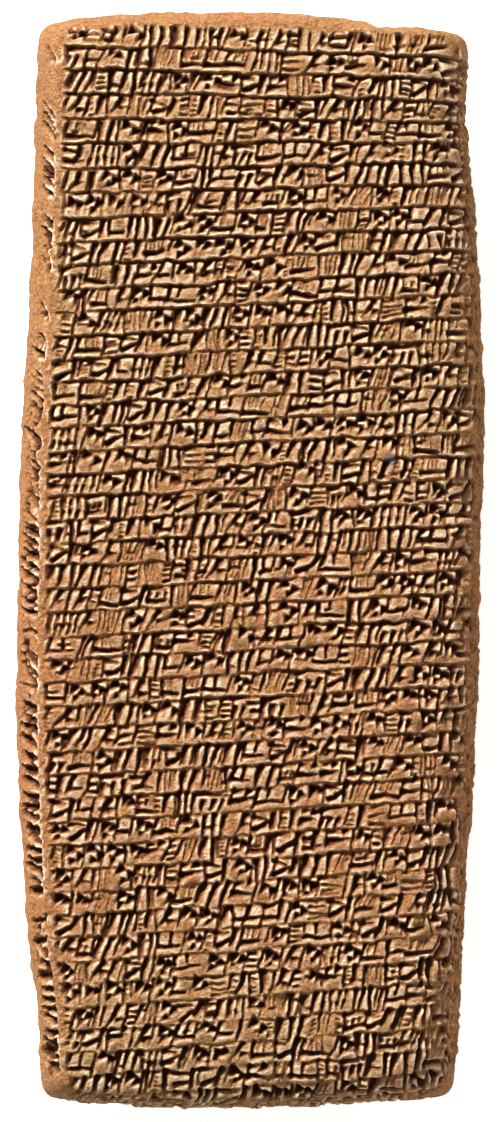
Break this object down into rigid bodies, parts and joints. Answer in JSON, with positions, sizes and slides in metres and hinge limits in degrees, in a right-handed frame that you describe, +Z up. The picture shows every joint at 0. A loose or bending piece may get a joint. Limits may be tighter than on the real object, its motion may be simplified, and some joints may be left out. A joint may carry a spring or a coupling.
{
  "type": "cuneiform tablet",
  "caption": "Long single-column clay tablet of weathered tan and terracotta clay, its front closely covered with rows of pressed stylus strokes, lying on its back",
  "frame": {"origin": "the middle of the footprint, on the surface that the tablet lies on", "axes": "+X along the rows in the direction of reading, +Y towards the head of the tablet, +Z up out of the written face"},
  "size_m": [0.088, 0.2052, 0.032],
  "materials": {
    "clay": "matt unglazed clay, ochre to terracotta, with dark soil in the strokes and pale worn ridges"
  },
  "bodies": {
    "root": {"tablet": "clay"}
  },
  "joints": []
}
